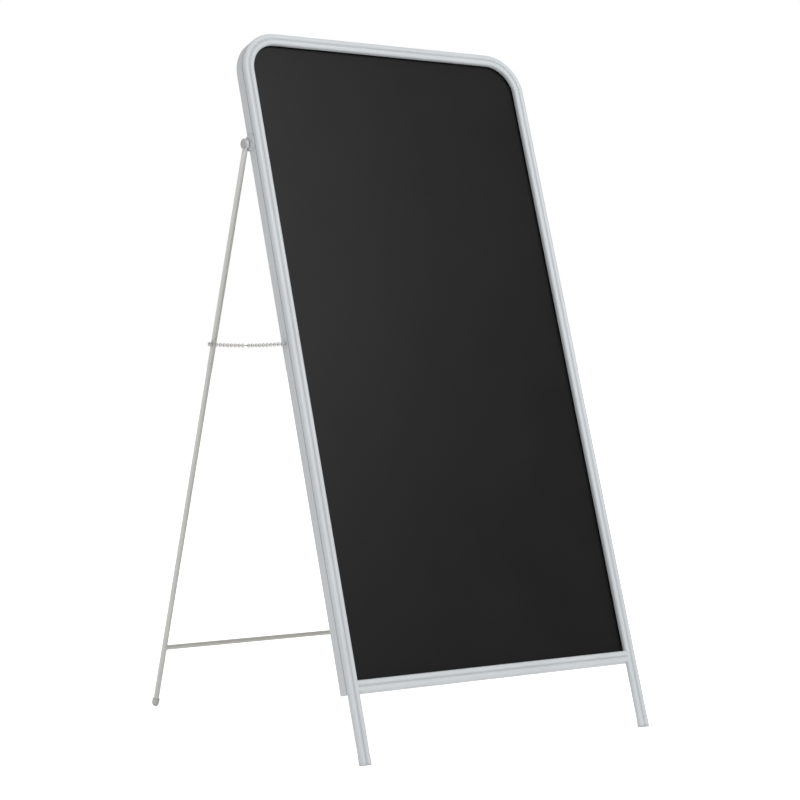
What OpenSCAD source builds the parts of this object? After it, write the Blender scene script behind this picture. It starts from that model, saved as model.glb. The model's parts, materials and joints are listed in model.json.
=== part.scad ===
// Folding A-frame chalkboard sign: a leaning front frame with a recessed board, and a hinged rear leg of two
// rods that straddle the frame and that two short chains hold open. Millimetres, +Z up; the writing face
// looks towards -Y, and the origin is on the ground at the middle of the footprint.

/* [Front frame] */
// Overall width of the bent tube frame
frame_w = 600; // [500:10:700]
// Centre of the bottom bar to the centre of the top tube, along the frame
frame_h = 1120; // [900:10:1250]
// Centre of the bottom bar to the ground, along the leg
leg_drop = 124; // [90:1:180]
// Lean of the front frame, in degrees
lean = 17.5; // [14:0.5:20]
// Centreline radius of the two top bends
bend_r = 62; // [45:1:90]

/* [Frame tube] */
// Width of the tube across the frame
tube_w = 20; // [18:1:26]
// Depth of the tube from front to back
tube_d = 10.5; // [10:0.5:14]
// Radius of the tube's two front beads
bead_r = 5; // [4:0.25:5]
// Radius of the tube's two rear corners
back_r = 2.5; // [2.5:0.25:4]
// Depth of the groove between the two beads
groove_depth = 3; // [1.5:0.1:3.4]
// Wall thickness of the tube
tube_wall = 1.5; // [1:0.1:2]

/* [Casing and board] */
// Depth of the casing behind the tube
casing_d = 18.5; // [16:0.5:20]
// Sheet thickness of the casing
casing_t = 1.5; // [1:0.1:2]
// Width of the casing flange that lies on the back of the tube
flange_w = 17; // [14:0.5:19]
// Thickness of the black writing sheet
sheet_t = 2; // [1:0.5:3]
// Thickness of the backing board
backing_t = 5; // [3:0.5:6]
// Gap all round between the boards and the casing wall
board_gap = 1; // [0.5:0.25:2]
// Width of the strip that clamps the boards
retainer_w = 13.5; // [10:0.5:16]
// Thickness of the strip that clamps the boards
retainer_t = 1.5; // [1:0.1:2]
// Clamping screws along each long side
side_screws = 4; // [2:1:6]

/* [Front feet] */
// Height of the foot plug that shows below the tube
foot_h = 15; // [12:1:20]
// How far the foot plug stands proud of the tube all round
foot_lip = 0.4; // [0.2:0.1:1]
// Edge radius of the foot plug
foot_edge_r = 3.5; // [2:0.5:4]
// Length of the foot plug's stem inside the tube
foot_stem = 18; // [10:1:30]

/* [Rear leg] */
// Lean of the rear leg, the other way, in degrees
rear_lean = 18.3; // [15:0.1:20]
// Diameter of the leg rods
rod_d = 9.5; // [9:0.5:11]
// Diameter of the crossbar between the rods
crossbar_d = 8.4; // [6:0.1:8.5]
// Side gap between the casing and a rod
rod_gap = 0.9; // [0.9:0.1:2]
// Height of the crossbar's centre above the ground, along the rod
crossbar_up = 117; // [60:1:200]
// Radius of the round rear feet
rear_foot_r = 6.5; // [5.5:0.5:8]
// Length of the straight sleeve above a rear foot's round end
rear_foot_sleeve = 8.5; // [5:0.5:14]

/* [Hinge] */
// Height of the hinge axis above the bottom bar's centre, along the frame
pivot_up = 932; // [750:1:950]
// Depth of the hinge axis behind the middle of the tube
pivot_depth = 23; // [22:0.5:27]
// Radius of the pivot stud
stud_r = 3; // [2.5:0.25:3.5]
// Radial running clearance between a rod's eye and its stud
eye_clearance = 0.05; // [0.02:0.01:0.1]
// Radius of a rod's eye
eye_r = 7.5; // [6.5:0.5:9]
// Thickness of a rod's flattened eye
eye_t = 5; // [4:0.5:5]
// Thickness of the hinge plate
plate_t = 2; // [1.5:0.1:2]
// Height of the hinge plate
plate_h = 26; // [20:1:30]
// Radius of the domed cap nut
cap_r = 9; // [6.5:0.5:10]

/* [Chains] */
// Distance of a chain's front end below the hinge axis, along the frame
chain_drop = 358; // [250:1:450]
// Depth of a chain's front end behind the middle of the tube
chain_depth = 11.5; // [10:0.5:15]
// How far the join of a chain's two halves lies in front of its middle
join_shift = 4.2; // [0:0.1:8]
// Sag of the middle of the chain
chain_sag = 2.5; // [1:0.5:6]
// Overall length of a link
link_len = 10; // [8.4:0.1:11]
// Wire diameter of the links
wire_d = 1.4; // [1.2:0.1:1.5]
// Overall width of a link
link_w = 6.4; // [5.6:0.1:6.6]

/* [Hidden] */
$fn = 48;
link_fn = 16;         // facets round a link's wire and bows
cut = 1;              // overshoot of every cutting shape
play = 0.2;           // flat gap between pieces that turn against each other
chain_play = 0.25;    // gap between the bows of two neighbouring links
strand_play = 0.4;    // side gap between a chain half and what it swings past
link_overlap = 2;     // how far the run of small links reaches over the last one

frame_colour = [0.83, 0.85, 0.86];
rod_colour = [0.70, 0.70, 0.68];
cap_colour = [0.60, 0.60, 0.59];
foot_colour = [0.76, 0.78, 0.79];
rear_foot_colour = [0.60, 0.60, 0.60];
board_colour = [0.10, 0.10, 0.10];
backing_colour = [0.45, 0.33, 0.22];
retainer_colour = [0.72, 0.74, 0.75];
steel_colour = [0.55, 0.55, 0.54];

// Front frame, drawn flat: x to the right, y up the frame from the bottom bar's centre, z towards the viewer
leg_x = (frame_w - tube_w) / 2;
side_x = frame_w / 2;
tube_end_y = -leg_drop + foot_h;
sole_cut = 0.6;       // how far a foot plug reaches below the ground before its sole is cut level
stem_play = 0.3;
bar_low_y = -tube_w / 2;
casing_front = -tube_d / 2;
casing_back = casing_front - casing_d;
wall_x = side_x - casing_t;
sheet_front = casing_front - casing_t;
backing_front = sheet_front - sheet_t;
retainer_front = backing_front - backing_t;
retainer_back = retainer_front - retainer_t;
board_x = wall_x - board_gap;
board_out = board_x - leg_x;
board_low_y = bar_low_y + casing_t + board_gap;
corner_y = frame_h - bend_r;

// Placing the frame and the leg on the ground
bar_z = leg_drop * cos(lean);
pivot_z = bar_z + pivot_up * cos(lean) - pivot_depth * sin(lean);
rear_reach = (pivot_z - rear_foot_r) / cos(rear_lean);
pivot_from_bar = pivot_up * sin(lean) + pivot_depth * cos(lean);
foot_front_from_bar = -leg_drop * sin(lean) - (tube_d / 2 + foot_lip) / cos(lean);
rear_back_from_bar = pivot_from_bar + rear_reach * sin(rear_lean) + rear_foot_r;
bar_y = -(foot_front_from_bar + rear_back_from_bar) / 2;
pivot_y = bar_y + pivot_from_bar;

// Hinge stack, outwards from the casing's side
rod_x = side_x + rod_gap + rod_d / 2;
plate_x = side_x + plate_t;
eye_in = rod_x - eye_t / 2;
eye_out = rod_x + eye_t / 2;
washer_in = eye_out + play;
washer_t = 0.8;
cap_in = washer_in + washer_t;
cap_t = 5.2;
stud_end = cap_in + 2;
plate_front = 4;
plate_back = -pivot_depth - eye_r;
plate_corner_r = 8;
rivet_depth = 8.5;
rivet_r = 1.6;
rivet_head_r = 2.8;
rivet_head_t = 1;

// Rod ends
flat_len = 10;
taper_len = 12;
crossbar_down = pivot_z / cos(rear_lean) - crossbar_up;

// Chains: both ends are at one height, and the rear half swings past the rods' outer side
link_r = (link_w - wire_d) / 2;
chain_up = pivot_up - chain_drop;
chain_y0 = bar_y + chain_up * sin(lean) + chain_depth * cos(lean);
chain_z = bar_z + chain_up * cos(lean) - chain_depth * sin(lean);
rivet_drop = (pivot_z - chain_z) / cos(rear_lean);
chain_y1 = pivot_y + rivet_drop * sin(rear_lean);
join_y = (chain_y0 + chain_y1) / 2 - join_shift;
front_span = join_y - chain_y0;
rear_span = chain_y1 - join_y;
rear_strand_x = rod_x + rod_d / 2 + strand_play + link_w / 2;
front_strand_x = rear_strand_x - link_w - 1.5 * strand_play;
ring_r = 3.4;
ring_shift = 1;
bow_gap = wire_d + chain_play;
screw_r = 1.5;
screw_head_r = 3.5;
screw_head_t = 1.4;

// ---- placing ----

// Stands the flat front frame up at its lean.
module on_front() {
    translate([0, bar_y, bar_z])
        rotate([90 - lean, 0, 0])
            children();
}

// Hangs a flat rear leg from the hinge axis: y runs up the rods, z towards the front frame.
module on_rear() {
    translate([0, pivot_y, pivot_z])
        rotate([90 + rear_lean, 0, 0])
            children();
}

// Pieces are drawn for the right side (+X); the left one is its mirror image.
module on_side(side) {
    mirror([side == "left" ? 1 : 0, 0, 0])
        children();
}

// Lays a shape drawn round the Z axis along +X, starting at x on the hinge axis of the flat front frame.
module along_x(x) {
    translate([x, 0, 0])
        rotate([0, 90, 0])
            children();
}

module at_front_pivot() {
    on_front()
        translate([0, pivot_up, -pivot_depth])
            children();
}

// ---- shared shapes ----

module round_rect(w, h, r) {
    square([w - 2 * r, h], center = true);
    square([w, h - 2 * r], center = true);
    for (x = [-1, 1], y = [-1, 1])
        translate([x * (w / 2 - r), y * (h / 2 - r)])
            circle(r = r);
}

// Section of the frame tube grown by g: two round front beads with a valley between them, and a flat back.
module tube_shape(g) {
    bead_x = tube_w / 2 - bead_r;
    bead_y = tube_d / 2 - bead_r;
    back_x = tube_w / 2 - back_r;
    back_y = tube_d / 2 - back_r;
    for (side = [-1, 1]) {
        translate([side * bead_x, bead_y])
            circle(r = bead_r + g);
        translate([side * back_x, -back_y])
            circle(r = back_r + g);
    }
    translate([-tube_w / 2 - g, -back_y])
        square([tube_w + 2 * g, back_y + bead_y]);
    translate([-back_x, -tube_d / 2 - g])
        square([2 * back_x, tube_d - groove_depth + 2 * g]);
}

// Sweeps a section round the inverted U of the frame, from low_y up one side, over the top and down the other.
module sweep_hoop(low_y) {
    for (side = ["left", "right"])
        on_side(side) {
            translate([leg_x, corner_y, 0])
                rotate([90, 0, 0])
                    linear_extrude(corner_y - low_y)
                        children();
            translate([leg_x - bend_r, corner_y, 0])
                rotate_extrude(angle = 90)
                    translate([bend_r, 0])
                        children();
        }
    translate([bend_r - leg_x, frame_h, 0])
        rotate([90, 0, 90])
            linear_extrude(2 * (leg_x - bend_r))
                children();
}

// Outline of the boards: square at the bottom, round at the two top corners.
module board_outline() {
    r = bend_r + board_out;
    top_y = frame_h + board_out;
    translate([-board_x, board_low_y])
        square([2 * board_x, top_y - r - board_low_y]);
    translate([r - board_x, top_y - r - cut])
        square([2 * (board_x - r), r + cut]);
    for (x = [-1, 1])
        translate([x * (board_x - r), top_y - r])
            circle(r = r);
}

// Places of the clamping screws along the middle of the retainer.
retainer_mid = board_x - retainer_w / 2;
retainer_low_y = board_low_y + retainer_w / 2;
screw_step = (corner_y - retainer_low_y - 2 * bend_r) / (side_screws - 1);
SCREW_PLACES = concat(
    [for (x = [-1, 1], i = [0:side_screws - 1]) [x * retainer_mid, retainer_low_y + bend_r + i * screw_step]],
    [for (x = [-1, 1]) [x * board_x / 2, frame_h + board_out - retainer_w / 2]],
    [for (x = [-1, 1]) [x * board_x / 2, retainer_low_y]]
);

retainer_screw_r = 1.3;

module retainer_holes() {
    for (p = SCREW_PLACES)
        translate([p[0], p[1], retainer_back - cut])
            cylinder(r = retainer_screw_r, h = retainer_t + backing_t + cut);
}

// Round head with a domed face, drawn from z = 0 upwards.
module dome_head(r, h) {
    ball_r = (r * r + h * h) / (2 * h);
    intersection() {
        translate([0, 0, h - ball_r])
            sphere(r = ball_r);
        cylinder(r = r, h = h + cut);
    }
}

// ---- front frame ----

module front_hoop() {
    color(frame_colour)
        on_front()
            difference() {
                sweep_hoop(tube_end_y)
                    tube_shape(0);
                sweep_hoop(tube_end_y - cut)
                    tube_shape(-tube_wall);
            }
}

// Straight tube across the frame, as far as the crests of the legs' inner beads.
module bar_solid(g) {
    end_x = leg_x - tube_w / 2 + bead_r;
    translate([-end_x, 0, 0])
        rotate([90, 0, 90])
            linear_extrude(2 * end_x)
                tube_shape(g);
}

module bottom_bar() {
    color(frame_colour)
        on_front()
            difference() {
                bar_solid(0);
                bar_solid(-tube_wall);
                for (side = ["left", "right"])
                    on_side(side)
                        translate([leg_x, tube_w, 0])
                            rotate([90, 0, 0])
                                linear_extrude(2 * tube_w)
                                    tube_shape(0);
            }
}

module casing_section() {
    out = tube_w / 2;
    translate([out - casing_t, casing_back])
        square([casing_t, casing_d]);
    translate([out - flange_w, casing_front - casing_t])
        square([flange_w, casing_t]);
}

module casing_hoop() {
    color(frame_colour)
        on_front()
            difference() {
                sweep_hoop(bar_low_y)
                    casing_section();
                for (side = ["left", "right"])
                    on_side(side) {
                        translate([0, chain_up, -chain_depth])
                            along_x(leg_x)
                                cylinder(r = screw_r, h = tube_w);
                        translate([0, pivot_up, -rivet_depth])
                            along_x(leg_x)
                                cylinder(r = rivet_r, h = tube_w);
                    }
            }
}

module casing_bottom_rail() {
    flange_x = side_x - flange_w;
    color(frame_colour)
        on_front() {
            translate([-wall_x, bar_low_y, casing_back])
                cube([2 * wall_x, casing_t, casing_d - casing_t]);
            translate([-flange_x, bar_low_y, sheet_front])
                cube([2 * flange_x, flange_w, casing_t]);
        }
}

module chalkboard() {
    color(board_colour)
        on_front()
            translate([0, 0, backing_front])
                linear_extrude(sheet_t)
                    board_outline();
}

module backing_board() {
    color(backing_colour)
        on_front()
            difference() {
                translate([0, 0, retainer_front])
                    linear_extrude(backing_t)
                        board_outline();
                retainer_holes();
            }
}

module board_retainer() {
    color(retainer_colour)
        on_front()
            difference() {
                union() {
                    sweep_hoop(board_low_y)
                        translate([board_out - retainer_w, retainer_back])
                            square([retainer_w, retainer_t]);
                    translate([-board_x, board_low_y, retainer_back])
                        cube([2 * board_x, retainer_w, retainer_t]);
                }
                retainer_holes();
            }
}

module retainer_screw() {
    head_r = 3;
    head_t = 1.8;
    slot_w = 0.8;
    slot_d = 0.9;
    translate([0, 0, -retainer_t - backing_t])
        cylinder(r = retainer_screw_r, h = retainer_t + backing_t);
    difference() {
        dome_head(head_r, head_t);
        for (a = [0, 90])
            rotate([0, 0, a])
                translate([-head_r / 2, -slot_w / 2, head_t - slot_d])
                    cube([head_r, slot_w, slot_d + cut]);
    }
}

module retainer_screws() {
    color(steel_colour)
        on_front()
            for (p = SCREW_PLACES)
                translate([p[0], p[1], retainer_back])
                    rotate([180, 0, 0])
                        retainer_screw();
}

// End plug of a front leg: the tube's own section with rounded edges and a level sole.
module front_foot(side) {
    foot_top = tube_end_y;
    foot_w = tube_w + 2 * foot_lip;
    foot_d = tube_d + 2 * foot_lip;
    tall = 2 * foot_h;
    color(foot_colour)
        on_side(side)
            difference() {
                on_front()
                    translate([leg_x, foot_top, 0]) {
                        intersection() {
                            rotate([90, 0, 0])
                                linear_extrude(tall)
                                    tube_shape(foot_lip);
                            translate([0, -foot_h - sole_cut, -foot_d / 2])
                                linear_extrude(foot_d)
                                    translate([0, tall / 2])
                                        round_rect(foot_w, tall, foot_edge_r);
                            translate([-foot_w / 2, -foot_h - sole_cut, 0])
                                rotate([0, 90, 0])
                                    linear_extrude(foot_w)
                                        translate([0, tall / 2])
                                            round_rect(foot_d, tall, foot_edge_r);
                            translate([-foot_w / 2, -tall, -foot_d / 2])
                                cube([foot_w, tall, foot_d]);
                        }
                        translate([0, foot_stem, 0])
                            rotate([90, 0, 0])
                                linear_extrude(foot_stem)
                                    tube_shape(-tube_wall - stem_play);
                    }
                translate([0, -frame_h, -tall])
                    cube([2 * side_x, frame_h, tall]);
            }
}

// ---- hinge ----

module hinge_plate(side) {
    plate_d = -plate_back - plate_front;
    color(frame_colour)
        on_front()
            on_side(side)
                translate([side_x, pivot_up, 0])
                    difference() {
                        translate([0, 0, -plate_front - plate_d / 2])
                            rotate([0, 90, 0])
                                linear_extrude(plate_t)
                                    round_rect(plate_d, plate_h, plate_corner_r);
                        translate([0, 0, -pivot_depth])
                            along_x(-cut)
                                cylinder(r = stud_r, h = plate_t + 2 * cut);
                        translate([0, 0, -rivet_depth])
                            along_x(-cut)
                                cylinder(r = rivet_r, h = plate_t + 2 * cut);
                    }
}

module hinge_plate_rivets() {
    shank = plate_t + casing_t;
    color(steel_colour)
        on_front()
            for (side = ["left", "right"])
                on_side(side)
                    translate([0, pivot_up, -rivet_depth]) {
                        along_x(plate_x - shank)
                            cylinder(r = rivet_r, h = shank);
                        along_x(plate_x)
                            dome_head(rivet_head_r, rivet_head_t);
                    }
}

module pivot_stud(side) {
    color(steel_colour)
        at_front_pivot()
            on_side(side)
                along_x(side_x)
                    cylinder(r = stud_r, h = stud_end - side_x);
}

module pivot_spacer(side) {
    length = eye_in - play - plate_x;
    color(cap_colour)
        at_front_pivot()
            on_side(side)
                along_x(plate_x)
                    difference() {
                        cylinder(r = eye_r - 0.5, h = length);
                        translate([0, 0, -cut])
                            cylinder(r = stud_r, h = length + 2 * cut);
                    }
}

module pivot_washer(side) {
    color(steel_colour)
        at_front_pivot()
            on_side(side)
                along_x(washer_in)
                    difference() {
                        cylinder(r = eye_r - 0.5, h = washer_t);
                        translate([0, 0, -cut])
                            cylinder(r = stud_r, h = washer_t + 2 * cut);
                    }
}

module pivot_cap_nut(side) {
    rim_t = 1.4;
    color(cap_colour)
        at_front_pivot()
            on_side(side)
                along_x(cap_in)
                    difference() {
                        union() {
                            cylinder(r = cap_r, h = rim_t);
                            translate([0, 0, rim_t])
                                dome_head(cap_r, cap_t - rim_t);
                        }
                        translate([0, 0, -cut])
                            cylinder(r = stud_r, h = stud_end - cap_in + cut);
                    }
}

// ---- rear leg ----

// Rod with a flattened eye at the hinge; the eye tapers into the full round below it.
module leg_rod(side) {
    reach = rear_reach + 1;
    color(rod_colour)
        on_rear()
            on_side(side)
                translate([rod_x, 0, 0])
                    difference() {
                        intersection() {
                            union() {
                                rotate([90, 0, 0])
                                    cylinder(d = rod_d, h = reach);
                                along_x(-rod_d / 2)
                                    cylinder(r = eye_r, h = rod_d);
                            }
                            translate([0, 0, -eye_r - cut])
                                linear_extrude(2 * (eye_r + cut))
                                    rod_side_outline(reach);
                        }
                        along_x(-rod_d)
                            cylinder(r = stud_r + eye_clearance, h = 2 * rod_d);
                        translate([0, -rivet_drop, 0])
                            along_x(-rod_d)
                                cylinder(r = screw_r, h = 2 * rod_d);
                    }
}

// Outline that flattens the rod's top end, seen from in front.
module rod_side_outline(reach) {
    half = eye_t / 2;
    full = rod_d / 2 + cut;
    polygon([
        [-half, eye_r + cut], [half, eye_r + cut],
        [half, -flat_len], [full, -flat_len - taper_len],
        [full, -reach - cut], [-full, -reach - cut],
        [-full, -flat_len - taper_len], [-half, -flat_len]
    ]);
}

module leg_crossbar() {
    color(rod_colour)
        on_rear()
            translate([0, -crossbar_down, 0])
                difference() {
                    along_x(-rod_x)
                        cylinder(d = crossbar_d, h = 2 * rod_x);
                    for (side = ["left", "right"])
                        on_side(side)
                            translate([rod_x, rod_d, 0])
                                rotate([90, 0, 0])
                                    cylinder(d = rod_d, h = 2 * rod_d);
                }
}

module rear_foot(side) {
    chamfer = 1;
    color(rear_foot_colour)
        on_rear()
            on_side(side)
                translate([rod_x, -rear_reach, 0])
                    rotate([-90, 0, 0])
                        difference() {
                            union() {
                                sphere(r = rear_foot_r);
                                cylinder(r = rear_foot_r, h = rear_foot_sleeve - chamfer);
                                translate([0, 0, rear_foot_sleeve - chamfer])
                                    cylinder(r1 = rear_foot_r, r2 = rear_foot_r - chamfer, h = chamfer);
                            }
                            translate([0, 0, -1])
                                cylinder(d = rod_d, h = rear_foot_sleeve + 2 * cut);
                        }
}

// ---- chains and what holds them ----

// Screw through the casing wall; its head keeps the chain's end ring on.
module chain_screw(side) {
    head_in = front_strand_x + wire_d / 2 + play;
    color(steel_colour)
        on_front()
            on_side(side)
                translate([0, chain_up, -chain_depth]) {
                    along_x(wall_x)
                        cylinder(r = screw_r, h = head_in - wall_x);
                    along_x(head_in)
                        dome_head(screw_head_r, screw_head_t);
                }
}

// Rivet through the rod; its outer head keeps the chain's end ring on, and its inner end is flush with the rod.
module chain_rivet(side) {
    head_in = rear_strand_x + wire_d / 2 + play;
    rod_in = rod_x - rod_d / 2;
    color(steel_colour)
        on_rear()
            on_side(side)
                translate([0, -rivet_drop, 0]) {
                    along_x(rod_in)
                        cylinder(r = screw_r, h = head_in - rod_in);
                    along_x(head_in)
                        dome_head(screw_head_r, screw_head_t);
                }
}

// Link lying flat, with its length along Y.
module oval_link(half_w, length) {
    $fn = link_fn;
    straight = length - 2 * half_w;
    for (turn = [0, 180])
        rotate([0, 0, turn])
            translate([0, straight / 2, 0])
                rotate_extrude(angle = 180)
                    translate([half_w, 0])
                        circle(d = wire_d);
    for (x = [-1, 1])
        translate([x * half_w, 0, 0])
            rotate([90, 0, 0])
                cylinder(d = wire_d, h = straight, center = true);
}

// One half of a chain, drawn from its end on the screw: an end ring, a plain rod of the links' outer size for
// the run of small links, and the last link, which hangs in the middle one. The rear half is its mirror image.
module strand(span) {
    $fn = link_fn;
    last_bow = span - link_r + bow_gap;
    run_start = ring_shift + ring_r + wire_d / 2 + play;
    run_end = last_bow + wire_d / 2 - link_len + link_overlap;
    rotate([-atan(chain_sag / span), 0, 0]) {
        translate([0, ring_shift, 0])
            rotate([0, 90, 0])
                rotate_extrude()
                    translate([ring_r, 0])
                        circle(d = wire_d);
        rotate([-90, 0, 0])
            translate([0, 0, run_start])
                cylinder(d = link_w, h = run_end - run_start);
        translate([0, last_bow + wire_d / 2 - link_len / 2, 0])
            rotate([0, 90, 0])
                oval_link(link_r, link_len - wire_d);
    }
}

module chain_front(side) {
    color(steel_colour)
        on_side(side)
            translate([front_strand_x, chain_y0, chain_z])
                strand(front_span);
}

module chain_rear(side) {
    color(steel_colour)
        on_side(side)
            translate([rear_strand_x, chain_y1, chain_z])
                mirror([0, 1, 0])
                    strand(rear_span);
}

// Link at the end of the front half; it lies level and reaches out towards the rear half.
module chain_middle(side) {
    inner_x = front_strand_x - link_w / 2;
    outer_x = rear_strand_x - link_w / 2 - strand_play;
    color(steel_colour)
        on_side(side)
            translate([(inner_x + outer_x) / 2, join_y, chain_z - chain_sag])
                rotate([0, 0, 90])
                    oval_link(link_r, outer_x - inner_x - wire_d);
}

front_hoop();
bottom_bar();
casing_hoop();
casing_bottom_rail();
chalkboard();
backing_board();
board_retainer();
retainer_screws();
front_foot("left");  // front_foot_left
front_foot("right");  // front_foot_right
hinge_plate("left");  // hinge_plate_left
hinge_plate("right");  // hinge_plate_right
hinge_plate_rivets();
pivot_stud("left");  // pivot_stud_left
pivot_stud("right");  // pivot_stud_right
pivot_spacer("left");  // pivot_spacer_left
pivot_spacer("right");  // pivot_spacer_right
pivot_washer("left");  // pivot_washer_left
pivot_washer("right");  // pivot_washer_right
pivot_cap_nut("left");  // pivot_cap_nut_left
pivot_cap_nut("right");  // pivot_cap_nut_right
chain_screw("left");  // chain_screw_left
chain_screw("right");  // chain_screw_right
leg_rod("left");  // leg_rod_left
leg_rod("right");  // leg_rod_right
leg_crossbar();
rear_foot("left");  // rear_foot_left
rear_foot("right");  // rear_foot_right
chain_rivet("left");  // chain_rivet_left
chain_rivet("right");  // chain_rivet_right
chain_front("left");  // chain_front_left
chain_front("right");  // chain_front_right
chain_middle("left");  // chain_middle_left
chain_middle("right");  // chain_middle_right
chain_rear("left");  // chain_rear_left
chain_rear("right");  // chain_rear_right
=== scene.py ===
"""Looks of a folding A-frame chalkboard sign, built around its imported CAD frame. Metres, +Z up."""

import json
import math

import bmesh
import bpy
from mathutils import Matrix, Vector


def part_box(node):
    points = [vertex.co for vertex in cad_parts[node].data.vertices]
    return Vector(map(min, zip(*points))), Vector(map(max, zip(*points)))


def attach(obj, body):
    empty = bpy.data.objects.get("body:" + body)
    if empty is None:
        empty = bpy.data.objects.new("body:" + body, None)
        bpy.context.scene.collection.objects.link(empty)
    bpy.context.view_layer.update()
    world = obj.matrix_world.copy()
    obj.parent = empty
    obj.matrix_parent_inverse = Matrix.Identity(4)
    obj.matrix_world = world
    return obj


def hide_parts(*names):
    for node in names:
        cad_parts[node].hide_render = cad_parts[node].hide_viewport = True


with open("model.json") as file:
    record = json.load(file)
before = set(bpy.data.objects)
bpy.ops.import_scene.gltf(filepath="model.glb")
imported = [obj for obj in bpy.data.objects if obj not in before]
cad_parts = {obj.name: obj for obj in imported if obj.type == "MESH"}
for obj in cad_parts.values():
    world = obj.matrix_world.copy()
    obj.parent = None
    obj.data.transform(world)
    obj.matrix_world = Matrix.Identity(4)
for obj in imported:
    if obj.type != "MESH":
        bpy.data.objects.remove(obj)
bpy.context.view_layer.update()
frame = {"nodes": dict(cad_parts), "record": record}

MM = 0.001
SIDEWAYS = Vector((1, 0, 0))
BACKWARD = Vector((0, 1, 0))
UPWARD = Vector((0, 0, 1))

# ---------------------------------------------------------------- the frame's own measures


def joint_place(name):
    """A joint's axis point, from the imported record."""
    joints = frame["record"]["behaviour"]["joints"]
    return Vector(next(j for j in joints if j["name"] == name)["pos_m"])


def box_centre(node):
    low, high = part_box(node)
    return (Vector(low) + Vector(high)) / 2


def box_size(node):
    low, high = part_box(node)
    return Vector(high) - Vector(low)


SIDES = {"left": -1, "right": 1}
PIVOT = joint_place("leg_fold")
RING_FRONT = joint_place("chain_front_left_swing")
RING_REAR = joint_place("chain_rear_left_swing")
BAR = box_centre("bottom_bar")
LEAN = math.atan2(*(box_size("chalkboard").yz))
REAR_LEAN = math.atan2(RING_REAR.y - PIVOT.y, PIVOT.z - RING_REAR.z)


# ---------------------------------------------------------------- small node helpers


class Shader:
    """One procedural material: a Principled shader and the nodes that feed it."""

    def __init__(self, name, **sockets):
        self.material = bpy.data.materials.new(name)
        self.material.use_nodes = True
        self.tree = self.material.node_tree
        self.principled = self.tree.nodes["Principled BSDF"]
        for socket, value in sockets.items():
            self.principled.inputs[socket.replace("_", " ")].default_value = value
        self.coords = self.add("ShaderNodeTexCoord").outputs["Object"]

    def add(self, kind, inputs=None, **props):
        node = self.tree.nodes.new(kind)
        for key, value in props.items():
            setattr(node, key, value)
        for key, value in (inputs or {}).items():
            if isinstance(value, bpy.types.NodeSocket):
                self.tree.links.new(value, node.inputs[key])
            else:
                node.inputs[key].default_value = value
        return node

    def link(self, output, socket):
        self.tree.links.new(output, self.principled.inputs[socket])

    def noise(self, scale, detail=2.0, roughness=0.5, stretch=(1, 1, 1)):
        mapping = self.add("ShaderNodeMapping", {"Vector": self.coords, "Scale": stretch})
        vector = mapping.outputs["Vector"]
        inputs = {"Vector": vector, "Scale": scale, "Detail": detail, "Roughness": roughness}
        return self.add("ShaderNodeTexNoise", inputs).outputs["Fac"]

    def span(self, value, low, high, from_low=0.3, from_high=0.7):
        """value, spread from from_low..from_high to low..high."""
        inputs = {
            "Value": value, "From Min": from_low, "From Max": from_high,
            "To Min": low, "To Max": high,
        }
        return self.add("ShaderNodeMapRange", inputs).outputs["Result"]

    def mix(self, factor, a, b):
        node = self.add("ShaderNodeMix", data_type="RGBA")
        for socket, value in (("Factor", factor), ("A", a), ("B", b)):
            target = next(s for s in node.inputs if s.name == socket and s.enabled)
            if isinstance(value, bpy.types.NodeSocket):
                self.tree.links.new(value, target)
            else:
                target.default_value = value
        return next(s for s in node.outputs if s.enabled)

    def bump(self, height, strength, distance, normal=None):
        inputs = {"Height": height, "Strength": strength, "Distance": distance}
        if normal is not None:
            inputs["Normal"] = normal
        return self.add("ShaderNodeBump", inputs).outputs["Normal"]


def grey(value, warm=0.0):
    return (value * (1 + warm), value, value * (1 - warm), 1.0)


# ---------------------------------------------------------------- materials


def powder_coat(name, colour, roughness=0.42, grime=0.9):
    """Satin powder coat: fine orange peel and faint cloudiness, down to grime times the colour."""
    s = Shader(name, Specular_IOR_Level=0.4, Coat_Weight=0.06, Coat_Roughness=0.25)
    cloud = s.noise(9.0, 3.0)
    dark = tuple(c * grime for c in colour[:3]) + (1.0,)
    s.link(s.mix(s.span(cloud, 0.0, 0.5), colour, dark), "Base Color")
    s.link(s.span(s.noise(45.0, 3.0), roughness - 0.05, roughness + 0.07), "Roughness")
    peel = s.noise(650.0, 2.0)
    ripple = s.noise(120.0, 2.0)
    first = s.bump(peel, 0.12, 0.0002)
    s.link(s.bump(ripple, 0.08, 0.0008, first), "Normal")
    return s.material


def chalkboard_face():
    """Matt black writing sheet: fine tooth, faint wiped streaks and a haze of old chalk."""
    s = Shader("chalkboard_face", Specular_IOR_Level=0.20)
    black = (0.0012, 0.0011, 0.0011, 1.0)
    haze = (0.0032, 0.0030, 0.0031, 1.0)
    wiped = s.noise(3.0, 5.0, 0.6, (1.0, 0.35, 0.35))
    streak = s.noise(26.0, 3.0, 0.55, (0.25, 1.0, 1.0))
    clouds = s.mix(s.span(wiped, 0.0, 1.0), black, haze)
    s.link(s.mix(s.span(streak, 0.0, 0.22, 0.45, 0.8), clouds, haze), "Base Color")
    s.link(s.span(s.noise(7.0, 4.0), 0.38, 0.45), "Roughness")
    s.link(s.bump(s.noise(1800.0, 2.0), 0.10, 0.0001), "Normal")
    return s.material


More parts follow.
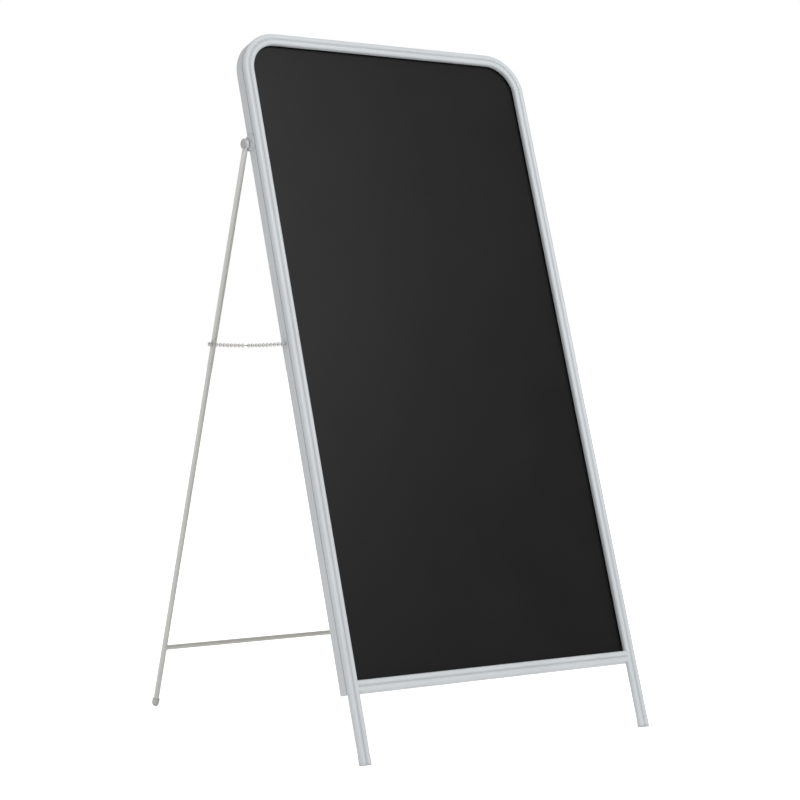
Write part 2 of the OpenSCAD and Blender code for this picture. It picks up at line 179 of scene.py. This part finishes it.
def hardboard():
    """Raw pressed fibre board: brown, flecked, slightly rough."""
    s = Shader("hardboard", Specular_IOR_Level=0.2)
    fibre = s.noise(420.0, 6.0, 0.7)
    blotch = s.noise(12.0, 4.0)
    base = s.mix(s.span(fibre, 0.0, 1.0), (0.20, 0.125, 0.070, 1.0), (0.36, 0.245, 0.150, 1.0))
    s.link(s.mix(s.span(blotch, 0.0, 0.35), base, (0.17, 0.105, 0.06, 1.0)), "Base Color")
    s.link(s.span(fibre, 0.70, 0.88), "Roughness")
    s.link(s.bump(fibre, 0.35, 0.0003), "Normal")
    return s.material


def moulded_plastic(name, colour, roughness=0.5):
    """Moulded plastic: fine spark texture, scuffed, and darker over its last few millimetres, a painted
    shade where it meets the floor.
    """
    # Painted shade: the bottom 6 mm of the part, next to the floor, is drawn darker.
    shade_height = 0.006
    s = Shader(name, Specular_IOR_Level=0.35)
    scuff = s.noise(160.0, 4.0, 0.65, (1.0, 1.0, 0.3))
    dark = tuple(c * 0.82 for c in colour[:3]) + (1.0,)
    # Colour of the painted shade: 0.6 times the plastic's own colour.
    painted_shade = tuple(c * 0.60 for c in colour[:3]) + (1.0,)
    height = s.add("ShaderNodeSeparateXYZ", {"Vector": s.coords}).outputs["Z"]
    scuffed = s.mix(s.span(scuff, 0.0, 0.7, 0.45, 0.75), colour, dark)
    # Mixes in the painted shade, strongest at the very bottom and gone 6 mm up.
    s.link(s.mix(s.span(height, 0.6, 0.0, 0.0, shade_height), scuffed, painted_shade), "Base Color")
    s.link(s.span(scuff, roughness, roughness + 0.18), "Roughness")
    s.link(s.bump(s.noise(1500.0, 2.0), 0.18, 0.0001), "Normal")
    return s.material


def plated_steel(name, value, roughness=0.36):
    """Zinc plate: mottled spangle with small scratches."""
    s = Shader(name, Metallic=0.75, Specular_IOR_Level=0.5)
    spangle = s.noise(240.0, 4.0, 0.6)
    s.link(s.mix(s.span(spangle, 0.0, 1.0), grey(value, 0.02), grey(value * 0.72, 0.03)), "Base Color")
    s.link(s.span(s.noise(500.0, 3.0), roughness - 0.08, roughness + 0.12), "Roughness")
    s.link(s.bump(s.noise(900.0, 3.0), 0.15, 0.0001), "Normal")
    return s.material


FRAME_PAINT = powder_coat("frame_paint", (0.520, 0.545, 0.560, 1.0))
RETAINER_PAINT = powder_coat("retainer_paint", (0.500, 0.523, 0.537, 1.0))
ROD_PAINT = powder_coat("rod_paint", (0.600, 0.608, 0.585, 1.0), 0.46)
KNOB_PAINT = powder_coat("knob_paint", (0.400, 0.400, 0.410, 1.0), 0.36, 0.75)
FRONT_FOOT = moulded_plastic("front_foot_plastic", (0.525, 0.550, 0.565, 1.0))
REAR_FOOT = moulded_plastic("rear_foot_plastic", (0.520, 0.520, 0.515, 1.0), 0.42)
BOARD_FACE = chalkboard_face()
BOARD_BACK = hardboard()
FASTENER = plated_steel("fastener_zinc", 0.56)
CHAIN_METAL = plated_steel("chain_zinc", 0.62, 0.32)

SLOT_MATERIALS = {
    "frame_paint": FRAME_PAINT,
    "retainer_paint": RETAINER_PAINT,
    "rod_paint": ROD_PAINT,
    "knob": KNOB_PAINT,
    "front_foot_plastic": FRONT_FOOT,
    "rear_foot_plastic": REAR_FOOT,
    "chalkboard": BOARD_FACE,
    "backing": BOARD_BACK,
    "bright_fasteners": FASTENER,
    "chain_steel": CHAIN_METAL,
}


def paint_nodes():
    """Gives every carried-over CAD node the material of its slot."""
    slots = {p["node"]: p["material_slot"] for p in frame["record"]["subparts"]}
    for name, obj in frame["nodes"].items():
        material = SLOT_MATERIALS[slots[name]]
        for place in obj.material_slots:
            place.material = material


paint_nodes()


# ---------------------------------------------------------------- mesh helpers


def new_piece(name, bm, material, body):
    """Turns a finished bmesh into a smooth piece that rides on a body."""
    data = bpy.data.meshes.new(name)
    bm.normal_update()
    bm.to_mesh(data)
    bm.free()
    data.materials.append(material)
    for face in data.polygons:
        face.use_smooth = True
    piece = bpy.data.objects.new(name, data)
    bpy.context.collection.objects.link(piece)
    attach(piece, body)
    return piece


def add_tube(bm, path, radii, start_across, closed=False, sides=10):
    """Sweeps a round section along path; radii is one radius per point. An open tube gets end caps."""
    count = len(path)
    rings = []
    across = start_across
    for i, point in enumerate(path):
        before = path[i - 1] if closed or i > 0 else point
        after = path[(i + 1) % count] if closed or i < count - 1 else point
        along = (after - before).normalized()
        across = (across - along * across.dot(along)).normalized()
        other = along.cross(across)
        ring = []
        for k in range(sides):
            turn = 2 * math.pi * k / sides
            outward = across * math.cos(turn) + other * math.sin(turn)
            ring.append(bm.verts.new(point + outward * radii[i]))
        rings.append(ring)
    spans = count if closed else count - 1
    for i in range(spans):
        a, b = rings[i], rings[(i + 1) % count]
        for k in range(sides):
            n = (k + 1) % sides
            bm.faces.new((a[k], a[n], b[n], b[k]))
    if not closed:
        bm.faces.new(list(reversed(rings[0])))
        bm.faces.new(rings[-1])


# ---------------------------------------------------------------- chains

WIRE = 1.4 * MM
LINK_HALF = 2.5 * MM         # centreline half-width of a link
JOIN_HALF = 1.6 * MM         # the same for the narrower link that joins a chain's halves
LINK_STEP = 6.4 * MM         # wished length of chain per link
BOW_STEPS = 8
WIRE_SIDES = 8
RING_RADIUS = 3.4 * MM
RING_SHIFT = 1.0 * MM        # how far the end ring hangs off the middle of its screw
BOW_GAP = 1.65 * MM          # between the centres of two wires that hook into each other


def link_path(half_width, length):
    """Flat centreline of an oval link, length along the first axis."""
    straight = length / 2 - half_width
    path = []
    for end in (1, -1):
        for k in range(BOW_STEPS + 1):
            turn = math.pi * (k / BOW_STEPS - 0.5)
            reach = end * (straight + half_width * math.cos(turn))
            path.append(Vector((reach, end * half_width * math.sin(turn))))
    return path


def add_link(bm, centre, along, wide, half_width, length):
    """One closed link whose plane holds the directions along and wide."""
    path = [centre + along * p.x + wide * p.y for p in link_path(half_width, length)]
    add_tube(bm, path, [WIRE / 2] * len(path), along.cross(wide), closed=True, sides=WIRE_SIDES)


def add_strand(bm, ring_place, join, x, hook):
    """End ring and small links from a ring's screw to the joining link, hanging in a shallow curve. The
    joining link's wire lies hook short of the join."""
    span = abs(join.y - ring_place.y)
    toward = 1 if join.y > ring_place.y else -1
    sag = ring_place.z - join.z

    def place(reach):
        drop = sag * (1 - (1 - reach / span) ** 2)
        return Vector((x, ring_place.y + toward * reach, ring_place.z - drop))

    ring_centre = Vector((x, ring_place.y + toward * RING_SHIFT, ring_place.z))
    add_link(bm, ring_centre, BACKWARD, UPWARD, RING_RADIUS, 2 * RING_RADIUS)
    first = RING_SHIFT + RING_RADIUS - BOW_GAP
    last = span - hook + BOW_GAP
    links = 2 * round((last - first) / LINK_STEP / 2)
    pitch = (last - first - BOW_GAP) / links
    for i in range(links):
        start = place(first + i * pitch)
        end = place(first + i * pitch + pitch + BOW_GAP)
        along = (end - start).normalized()
        wide = SIDEWAYS if i % 2 == 0 else along.cross(SIDEWAYS)
        add_link(bm, (start + end) / 2, along, wide, LINK_HALF, (end - start).length)


def make_chain(side):
    join = box_centre(f"chain_middle_{side}")
    front_x = box_centre(f"chain_front_{side}").x
    rear_x = box_centre(f"chain_rear_{side}").x
    strands = (
        ("front", RING_FRONT, front_x, 2 * JOIN_HALF - LINK_HALF),
        ("rear", RING_REAR, rear_x, LINK_HALF),
    )
    for half, anchor, x, hook in strands:
        bm = bmesh.new()
        add_strand(bm, anchor, join, x, hook)
        piece = new_piece(f"chain_links_{half}_{side}", bm, CHAIN_METAL, f"chain_{half}_{side}")
        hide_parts(f"chain_{half}_{side}")
    bm = bmesh.new()
    across = abs(rear_x - front_x)
    centre = Vector(((front_x + rear_x) / 2, join.y + LINK_HALF - JOIN_HALF, join.z))
    add_link(bm, centre, SIDEWAYS, BACKWARD, JOIN_HALF, across + 2 * JOIN_HALF)
    piece = new_piece(f"chain_joining_link_{side}", bm, CHAIN_METAL, f"chain_front_{side}")
    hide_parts(f"chain_middle_{side}")


for side in SIDES:
    make_chain(side)


# ---------------------------------------------------------------- weld beads

BEAD_R = 1.0 * MM
BAR_WELD_STEPS = 16
CROSSBAR_WELD_STEPS = 40
TUBE_W = 20 * MM
TUBE_D = 10.5 * MM
FRAME_W = box_size("front_hoop").x
ROD_R = box_size("leg_rod_left").x / 2


def bead_radii(count):
    """Radii along a weld bead: small ripples, fading out at both ends."""
    thinnest, fade_steps = 0.6, 2.5
    ripple, ripple_rate = 0.12, 2.1
    radii = []
    for i in range(count):
        fade = min(1.0, (min(i, count - 1 - i) + thinnest) / fade_steps)
        radii.append(BEAD_R * fade * (1 + ripple * math.sin(ripple_rate * i)))
    return radii


def on_front(x, up, out):
    """Point of the leaning frame: x to the right, up from the bottom bar's centre, out to the front."""
    place = Vector((x, BAR.y, BAR.z))
    place += Vector((0, math.sin(LEAN), math.cos(LEAN))) * up
    place += Vector((0, -math.cos(LEAN), math.sin(LEAN))) * out
    return place


def make_bar_welds(side):
    """Beads where the bottom bar's upper and lower faces meet the leg's inner face."""
    sign = SIDES[side]
    x = sign * (FRAME_W / 2 - TUBE_W)
    inner, length = -0.30 * TUBE_D, 0.45 * TUBE_D
    bm = bmesh.new()
    for up in (TUBE_W / 2, -TUBE_W / 2):
        outs = [inner + length * i / BAR_WELD_STEPS for i in range(BAR_WELD_STEPS + 1)]
        path = [on_front(x, up, out) for out in outs]
        add_tube(bm, path, bead_radii(len(path)), SIDEWAYS)
    piece = new_piece(f"bar_welds_{side}", bm, FRAME_PAINT, "front_frame")


def make_crossbar_weld(side):
    """Ring-shaped bead where the crossbar runs into the rod."""
    sign = SIDES[side]
    bar = box_centre("leg_crossbar")
    radius = box_size("leg_crossbar").z / 2
    rod_x = box_centre(f"rear_foot_{side}").x
    spin = Matrix.Rotation(REAR_LEAN, 3, "X")
    ripple, ripple_rate = 0.10, 2.3
    path = []
    radii = []
    for i in range(CROSSBAR_WELD_STEPS):
        turn = 2 * math.pi * i / CROSSBAR_WELD_STEPS
        saddle = math.sqrt(max(0.0, ROD_R**2 - (radius * math.sin(turn)) ** 2))
        offset = spin @ Vector((0, radius * math.sin(turn), radius * math.cos(turn)))
        path.append(Vector((rod_x - sign * saddle, bar.y + offset.y, bar.z + offset.z)))
        radii.append(BEAD_R * (1 + ripple * math.sin(ripple_rate * i)))
    bm = bmesh.new()
    add_tube(bm, path, radii, SIDEWAYS, closed=True)
    piece = new_piece(f"crossbar_weld_{side}", bm, ROD_PAINT, "rear_leg")


for side in SIDES:
    make_bar_welds(side)
    make_crossbar_weld(side)


# ---------------------------------------------------------------- studio

CAMERA_FROM_BAR = Vector((-2.0851, -2.7125, 0.5367))
CAMERA_LENS = 92.7
CAMERA_DOWN = math.radians(1.43)
CAMERA_TURN = math.radians(34.82)
SENSOR = 36.0
FLOOR_RADIUS = 60.0


def make_camera():
    """Three-quarter view from the front left, at about the middle height of the board."""
    data = bpy.data.cameras.new("camera")
    data.sensor_width = SENSOR
    data.lens = CAMERA_LENS
    camera = bpy.data.objects.new("camera", data)
    camera.location = BAR + CAMERA_FROM_BAR
    camera.rotation_euler = (math.pi / 2 - CAMERA_DOWN, 0, -CAMERA_TURN)
    bpy.context.collection.objects.link(camera)
    bpy.context.scene.camera = camera


def make_floor():
    """Plain pale floor, a wide disc. It glows more to the camera than to the object, to look white."""
    bm = bmesh.new()
    bmesh.ops.create_circle(bm, cap_ends=True, segments=96, radius=FLOOR_RADIUS)
    data = bpy.data.meshes.new("floor")
    bm.to_mesh(data)
    bm.free()
    floor = bpy.data.objects.new("floor", data)
    bpy.context.collection.objects.link(floor)
    s = Shader("floor_white", Base_Color=(0.93, 0.93, 0.93, 1.0), Roughness=0.9, Specular_IOR_Level=0.1,
               Emission_Color=(1.0, 1.0, 1.0, 1.0))
    glow, seen_glow = 0.22, 0.62
    seen = s.add("ShaderNodeLightPath").outputs["Is Camera Ray"]
    s.link(s.span(seen, glow, seen_glow, 0.0, 1.0), "Emission Strength")
    data.materials.append(s.material)


def area_light(name, place, target, size, power):
    data = bpy.data.lights.new(name, "AREA")
    data.shape = "RECTANGLE"
    data.size, data.size_y = size
    data.energy = power
    light = bpy.data.objects.new(name, data)
    light.location = place
    aim = Vector(target) - Vector(place)
    light.rotation_euler = aim.to_track_quat("-Z", "Y").to_euler()
    bpy.context.collection.objects.link(light)


def make_world(low, high, slant, seen):
    """White tent: its light grows from low at the horizon to high overhead and falls off to the right by
    slant, and it looks plain white."""
    world = bpy.data.worlds.new("studio")
    world.use_nodes = True
    tree = world.node_tree
    background = tree.nodes["Background"]
    background.inputs["Color"].default_value = (1.0, 1.0, 1.0, 1.0)
    coords = tree.nodes.new("ShaderNodeTexCoord")
    height = tree.nodes.new("ShaderNodeSeparateXYZ")
    tilt = tree.nodes.new("ShaderNodeMath")
    tilt.operation = "MULTIPLY_ADD"
    tilt.inputs[1].default_value = -slant
    grow = tree.nodes.new("ShaderNodeMapRange")
    grow.inputs["From Min"].default_value = -slant
    grow.inputs["From Max"].default_value = 1.0 + slant
    grow.inputs["To Min"].default_value = low
    grow.inputs["To Max"].default_value = high
    path = tree.nodes.new("ShaderNodeLightPath")
    pick = tree.nodes.new("ShaderNodeMix")
    pick.inputs[3].default_value = seen
    links = tree.links
    links.new(coords.outputs["Generated"], height.inputs["Vector"])
    links.new(height.outputs["X"], tilt.inputs[0])
    links.new(height.outputs["Z"], tilt.inputs[2])
    links.new(tilt.outputs[0], grow.inputs["Value"])
    links.new(path.outputs["Is Camera Ray"], pick.inputs[0])
    links.new(grow.outputs["Result"], pick.inputs[2])
    links.new(pick.outputs[0], background.inputs["Strength"])
    bpy.context.scene.world = world


make_camera()
make_floor()
make_world(low=0.16, high=1.14, slant=0.66, seen=1.0)
area_light("key", place=(0.6, -3.0, 2.8), target=(0, 0, 0.8), size=(1.8, 1.8), power=66)
bpy.context.scene.view_settings.view_transform = "Standard"
